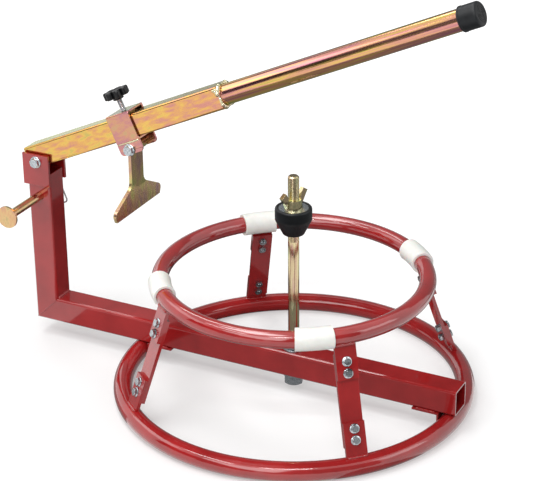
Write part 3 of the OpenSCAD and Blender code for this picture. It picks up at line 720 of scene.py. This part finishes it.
pinLow, pinHigh = boxOf("lock_pin")
clipLow, clipHigh = boxOf("pin_clip")
clipMiddle = ((pinLow.x + pinHigh.x) / 2, (clipLow.y + clipHigh.y) / 2, (pinLow.z + pinHigh.z) / 2)
clipPlace = (placeAt(clipMiddle, (1, 0, 0), (0, -1, 0))
             @ Matrix.Rotation(math.radians(clip["turn"]), 4, "Z"))
clipShape = bmesh.new()
addLoft(clipShape, tubeAlong(clipPath(clip), lambda run, i: clip["wire"] / 2, clip["sides"]),
        clipPlace)
makePiece("pinClip", clipShape, silverZinc, "pin", ["pin_clip"])
print("knob, cap and clip made")

# weld beads: a soft rope of overlapping puddles along a seam
bead = dict(step=0.7, sides=10, ripple=2.6, swell=0.10, rough=0.10, end=0.35, endRise=0.5,
            crease=60)


def addBead(shape, points, place, radius, closed=False, ripple=bead["ripple"],
            rough=bead["rough"], sizes=None):
    fine, scale = [], []
    points = [Vector(p) for p in points]
    sizes = sizes or [1.0] * len(points)
    ends = points[1:] + points[:1] if closed else points[1:]
    for i, (a, b) in enumerate(zip(points, ends)):
        count = max(1, round((b - a).length / bead["step"]))
        fine += [a.lerp(b, k / count) for k in range(count)]
        scale += [sizes[i]] * count
    if not closed:
        fine.append(points[-1])
        scale.append(sizes[-1])
    total = sum((b - a).length for a, b in zip(fine, fine[1:]))
    wobble = [random.uniform(-rough, rough) for _ in range(int(total / ripple) + 3)]

    def radiusAt(run, i):
        puddle = run / ripple
        blend = 0.5 - 0.5 * math.cos(math.pi * (puddle % 1))
        swell = 1 + bead["swell"] * math.cos(2 * math.pi * puddle)
        swell += wobble[int(puddle)] * (1 - blend) + wobble[int(puddle) + 1] * blend
        taper = 1 if closed else min(1, bead["end"] + bead["endRise"] * min(run, total - run))
        return radius * scale[i] * swell * taper

    addLoft(shape, tubeAlong(fine, radiusAt, bead["sides"], closed), place, closed)


# the frame's seams: a bead's radius, how far it stops short of the seam's ends, and how far its
# middle stands off the corner that it fills
legSeam = dict(radius=2.0, short=1, outer=(0.6, 0.4), inner=(-0.4, 0.2))
mitreSeam = dict(radius=0.9, short=2)
bracketSeam = dict(radius=1.5, short=2, off=0.9)
cornerSeam = dict(radius=2.0, short=4, off=0.5)
seatSeam = dict(radius=1.6, short=6, off=0.5, up=0.3)
frameWelds = bmesh.new()
strapEnd = legs["width"] / 2 - legSeam["short"]
for place, span in legPlaces():
    for tube, at, side in ((baseTube, 0, 1), (upperTube, span, -1)):
        touch = math.sqrt((tube / 2) ** 2 - legs["tab"] ** 2)
        (outX, outZ), (inX, inZ) = legSeam["outer"], legSeam["inner"]
        for x, z in ((legs["tab"] + outX, touch + outZ), (inX, tube / 2 + inZ)):
            line = [(x, y, at + side * z) for y in (-strapEnd, strapEnd)]
            addBead(frameWelds, line, place, legSeam["radius"])

# the post's mitre, the bracket's lower edges, the mitre's inner corner and the seat angles
half = tubeWidth / 2
cornerTop = postLow.z + tubeWidth
bracketFoot = boxOf("pivot_bracket")[0].z
for side in (-1, 1):
    short = mitreSeam["short"]
    line = [(postLow.x + short, side * half, postLow.z + short),
            (postHigh.x - short, side * half, cornerTop - short)]
    addBead(frameWelds, line, upright, mitreSeam["radius"])
    short, y = bracketSeam["short"], side * (half + bracketSeam["off"])
    line = [(x, y, bracketFoot) for x in (postLow.x + short, postHigh.x - short)]
    addBead(frameWelds, line, upright, bracketSeam["radius"])
off, short = cornerSeam["off"], cornerSeam["short"]
line = [(postHigh.x + off, y, cornerTop + off) for y in (short - half, half - short)]
addBead(frameWelds, line, upright, cornerSeam["radius"])
for seat in ("front_seat_angle", "rear_seat_angle"):
    seatLow, seatHigh = boxOf(seat)
    for side in (-1, 1):
        y, z = side * (half + seatSeam["off"]), seatHigh.z + seatSeam["up"]
        line = [(x, y, z) for x in (seatLow.x + seatSeam["short"], seatHigh.x - seatSeam["short"])]
        addBead(frameWelds, line, upright, seatSeam["radius"])
makePiece("frameWelds", frameWelds, redPaint, "frame", crease=bead["crease"])

# handle weld: it fills the square tube's corners round the handle and runs out on the near side;
# each run has its two ends, along the lever and up from its middle, and its radius
handleSeam = dict(flat=1.8, corner=3.4, out=2.2, off=0.7, past=0.4, steps=72, ripple=4.2,
                  rough=0.24,
                  runs=(((-3, 14.5), (0.5, 3), 3.0), ((-6.5, 13.5), (-1, 8.5), 2.3)))
leverLow, leverHigh = leverBox("lever_tube")
leverMiddle = (leverLow.z + leverHigh.z) / 2
handleWeld = bmesh.new()
ring, sizes = [], []
for k in range(handleSeam["steps"]):
    t = 2 * math.pi * k / handleSeam["steps"]
    squareness = math.sin(2 * t) ** 2
    away = handleR + handleSeam["off"] + handleSeam["out"] * squareness
    ring.append((leverHigh.x + handleSeam["past"], away * math.cos(t),
                 leverMiddle + away * math.sin(t)))
    sizes.append(handleSeam["flat"] + (handleSeam["corner"] - handleSeam["flat"]) * squareness)
puddles = dict(ripple=handleSeam["ripple"], rough=handleSeam["rough"])
addBead(handleWeld, ring, leverPlace, 1.0, closed=True, sizes=sizes, **puddles)
for start, stop, radius in handleSeam["runs"]:
    line = [(leverHigh.x + s, leverLow.y + handleSeam["past"], leverMiddle + n)
            for s, n in (start, stop)]
    addBead(handleWeld, line, leverPlace, radius, **puddles)
makePiece("handleWeld", handleWeld, zinc["bead"], "lever", crease=bead["crease"])

# seams of the carriage's ears, and the blade on its barrel
earSeam = dict(radius=1.2, short=1.5, sink=0.2, ripple=2.2)
bladeSeam = dict(radius=1.4, short=4, off=0.3)
earWelds, bladeWelds = bmesh.new(), bmesh.new()
sleeveLow, sleeveHigh = leverBox("carriage_sleeve")
for ear, y in (("near_ear", sleeveLow.y + earSeam["sink"]),
               ("far_ear", sleeveHigh.y - earSeam["sink"])):
    earLow, earHigh = leverBox(ear)
    line = [(x, y, sleeveLow.z)
            for x in (earLow.x + earSeam["short"], earHigh.x - earSeam["short"])]
    addBead(earWelds, line, leverPlace, earSeam["radius"], ripple=earSeam["ripple"])
bladeLow, bladeHigh = boxOf("blade")
barrelLow, barrelHigh = boxOf("blade_barrel")
barrelR = (barrelHigh.z - barrelLow.z) / 2
off, short = bladeSeam["off"], bladeSeam["short"]
for x, side in ((bladeLow.x, -1), (bladeHigh.x, 1)):
    drop = math.sqrt(barrelR ** 2 - (x - bladePivot.x) ** 2)
    line = [(x + side * off, y, bladePivot.z - drop - off)
            for y in (barrelLow.y + short, barrelHigh.y - short)]
    addBead(bladeWelds, line, upright, bladeSeam["radius"])
makePiece("earWelds", earWelds, zinc["bead"], "carriage", crease=bead["crease"])
makePiece("bladeWelds", bladeWelds, zinc["plate"], "breaker", crease=bead["crease"])
print("welds made")

# floor, light and world: a white studio sweep, here in metres; the floor glows more, up to the
# white of the background, the further it is from the lamps
studio = dict(floor="#C4C4C4", size=12, drop=0.0003, lamps=(-0.5, -1.0, 0), glowSpan=(0.8, 2.6),
              glow=(0.27, 0.85), sky=0.36, white=1.0)
softboxes = dict(
    topSoftbox=dict(at=(-0.5, -0.5, 2.4), aim=(0, 0, 0.1), size=(1.3, 0.8), power=24),
    frontStrip=dict(at=(0.6, -1.6, 2.3), aim=(0, -0.2, 0), size=(1.2, 0.06), power=14),
    topStrip=dict(at=(-1.2, -1.35, 2.4), aim=(0, 0, 0.1), size=(1.5, 0.2), power=8),
    rimStrip=dict(at=(-1.0, 0.6, 2.1), aim=(0, 0, 0.1), size=(0.25, 1.4), power=6),
    leftSoftbox=dict(at=(-1.85, -0.41, 1.5), aim=(0, 0, 0.4), size=(1.7, 0.6), power=4.5),
    frontSoftbox=dict(at=(-0.25, -2.5, 1.5), aim=(-0.1, 0, 0.2), size=(2.4, 1.6), power=38),
    rightSoftbox=dict(at=(1.9, 0.2, 1.3), aim=(0, 0, 0.1), size=(1.2, 0.8), power=5))
# painted reflections: cards that glow with a grey of their own and that only reflections see. The
# standing ones paint the dark flags set round shiny metal in a studio; the shelves, the collar and
# the mats under the wheel paint the dark reflection of the wheel that sits on the stand and is left
# out, and the back and left mats a darker floor. A standing one is placed by its bearing from the
# handle (0 is the front, minus is left) and its rise in degrees, a flat one faces up, and the
# collar faces the floor
paintedReflections = dict(
    lowFront=dict(bearing=-46, rise=9.5, away=3.0, size=(1.6, 1.22), shade=0.05),
    backLeft=dict(bearing=-118, rise=25, away=2.6, size=(0.5, 0.7), shade=0.25),
    grey=dict(bearing=-144, rise=-4.5, away=2.5, size=(1.9, 0.45), shade=0.5),
    back=dict(bearing=-172, rise=12, away=2.8, size=(4.2, 3.2), shade=0.25),
    front=dict(bearing=-14, rise=12, away=2.8, size=(1.85, 2.9), shade=0.15),
    rightFront=dict(bearing=42, rise=10, away=2.8, size=(3.8, 2.7), shade=0.2),
    shelf=dict(flat=(0.03, 0.245, 0.27), size=(0.78, 0.49), shade=0.27),
    frontShelf=dict(flat=(0.11, -0.125, 0.27), size=(0.62, 0.25), shade=0.27),
    collar=dict(flat=(0, 0, 0.15), ring=(0.12, 0.305), sides=96, shade=0.06),
    mat=dict(flat=(-0.08, 0.18, 0.002), size=(0.64, 0.76), shade=0.25),
    postMat=dict(flat=(-0.24, 0.27, 0.003), size=(0.28, 0.5), shade=0.05),
    backMat=dict(flat=(-0.2, 1.55, 0.002), size=(2.4, 1.9), shade=0.3),
    leftMat=dict(flat=(-0.75, 0.4, 0.003), size=(0.6, 0.5), shade=0.15))


def seenRays(tree):  # 1 for what the camera sees, straight or in metal and glass
    rays = addNode(tree, "ShaderNodeLightPath")
    seen = rays.outputs["Is Camera Ray"]
    for kind in ("Is Glossy Ray", "Is Transmission Ray"):
        seen = addNode(tree, "ShaderNodeMath", {0: seen, 1: rays.outputs[kind]},
                       operation="MAXIMUM").outputs[0]
    return seen


def sheetMesh(name, size, material):
    w, h = size[0] / 2, size[1] / 2
    mesh = bpy.data.meshes.new(name)
    mesh.from_pydata([(-w, -h, 0), (w, -h, 0), (w, h, 0), (-w, h, 0)], [], [(0, 1, 2, 3)])
    mesh.materials.append(material)
    return mesh


def collarMesh(name, radii, sides, material):
    inner, outer = turned([(r, 0) for r in radii], sides)
    mesh = bpy.data.meshes.new(name)
    mesh.from_pydata(inner + outer, [], [(k, (k + 1) % sides, (k + 1) % sides + sides, k + sides)
                                         for k in range(sides)])
    mesh.materials.append(material)
    return mesh


def addFloor(look):
    material, tree = startMaterial("paleFloorPaper")
    seen = seenRays(tree)
    coords = addNode(tree, "ShaderNodeTexCoord").outputs["Object"]
    away = addNode(tree, "ShaderNodeVectorMath", {0: coords, 1: look["lamps"]},
                   operation="DISTANCE")
    start, stop = look["glowSpan"]
    near, far = look["glow"]
    glow = addNode(tree, "ShaderNodeMapRange",
                   {"Value": away.outputs["Value"], "From Min": start, "From Max": stop,
                    "To Min": near, "To Max": far})
    strength = addNode(tree, "ShaderNodeMath", {0: glow.outputs["Result"], 1: seen},
                       operation="MULTIPLY")
    paper = addNode(tree, "ShaderNodeBsdfDiffuse", {"Color": hexColour(look["floor"])})
    shine = addNode(tree, "ShaderNodeEmission", {"Strength": strength.outputs[0]})
    both = addNode(tree, "ShaderNodeAddShader", {0: paper.outputs[0], 1: shine.outputs[0]})
    addNode(tree, "ShaderNodeOutputMaterial", {"Surface": both.outputs[0]})
    mesh = sheetMesh("floor", (look["size"], look["size"]), material)
    floor = bpy.data.objects.new("floor", mesh)
    floor.location.z = -look["drop"]
    bpy.context.scene.collection.objects.link(floor)


def addWorld(look):
    world = bpy.data.worlds.new("studioWorld")
    bpy.context.scene.world = world
    world.use_nodes = True
    tree = world.node_tree
    tree.nodes.clear()
    strength = addNode(tree, "ShaderNodeMapRange", {"Value": seenRays(tree), "To Min": look["sky"],
                                                    "To Max": look["white"]})
    sky = addNode(tree, "ShaderNodeBackground", {"Color": hexColour("#FFFFFF"),
                                                 "Strength": strength.outputs["Result"]})
    addNode(tree, "ShaderNodeOutputWorld", {"Surface": sky.outputs[0]})


def addFlag(name, card):
    # a painted reflection: the card glows with its own grey, and only glossy and glass rays see it
    material, tree = startMaterial(name + "PaintedReflectionCard")
    shade = addNode(tree, "ShaderNodeEmission", {"Strength": card["shade"]})
    clear = addNode(tree, "ShaderNodeBsdfTransparent")
    side = addNode(tree, "ShaderNodeNewGeometry")  # a card shows on its front only
    both = addNode(tree, "ShaderNodeMixShader", {0: side.outputs["Backfacing"],
                                                 1: shade.outputs[0], 2: clear.outputs[0]})
    addNode(tree, "ShaderNodeOutputMaterial", {"Surface": both.outputs[0]})
    if "ring" in card:
        mesh = collarMesh(name + "Flag", card["ring"], card["sides"], material)
    else:
        mesh = sheetMesh(name + "Flag", card["size"], material)
    flag = bpy.data.objects.new(name + "Flag", mesh)
    if "flat" in card:
        flag.location = card["flat"]
    else:
        bearing, rise = math.radians(card["bearing"]), math.radians(card["rise"])
        toward = Vector((math.sin(bearing) * math.cos(rise), -math.cos(bearing) * math.cos(rise),
                         math.sin(rise)))
        flag.location = leverPlace @ ((handleLow + handleHigh) / 2) + toward * card["away"]
        flag.rotation_euler = (-toward).to_track_quat("Z", "Y").to_euler()
    flag.visible_camera = flag.visible_diffuse = flag.visible_shadow = False
    bpy.context.scene.collection.objects.link(flag)


def addSoftbox(name, box):
    light = bpy.data.lights.new(name, "AREA")
    light.shape, light.energy = "RECTANGLE", box["power"]
    light.size, light.size_y = box["size"]
    lamp = bpy.data.objects.new(name, light)
    lamp.location = box["at"]
    toward = Vector(box["aim"]) - Vector(box["at"])
    lamp.rotation_euler = toward.to_track_quat("-Z", "Y").to_euler()
    bpy.context.scene.collection.objects.link(lamp)


addFloor(studio)
addWorld(studio)
for name, card in paintedReflections.items():
    addFlag(name, card)
for name, box in softboxes.items():
    addSoftbox(name, box)
bpy.context.scene.view_settings.view_transform = "Standard"
print("studio set")
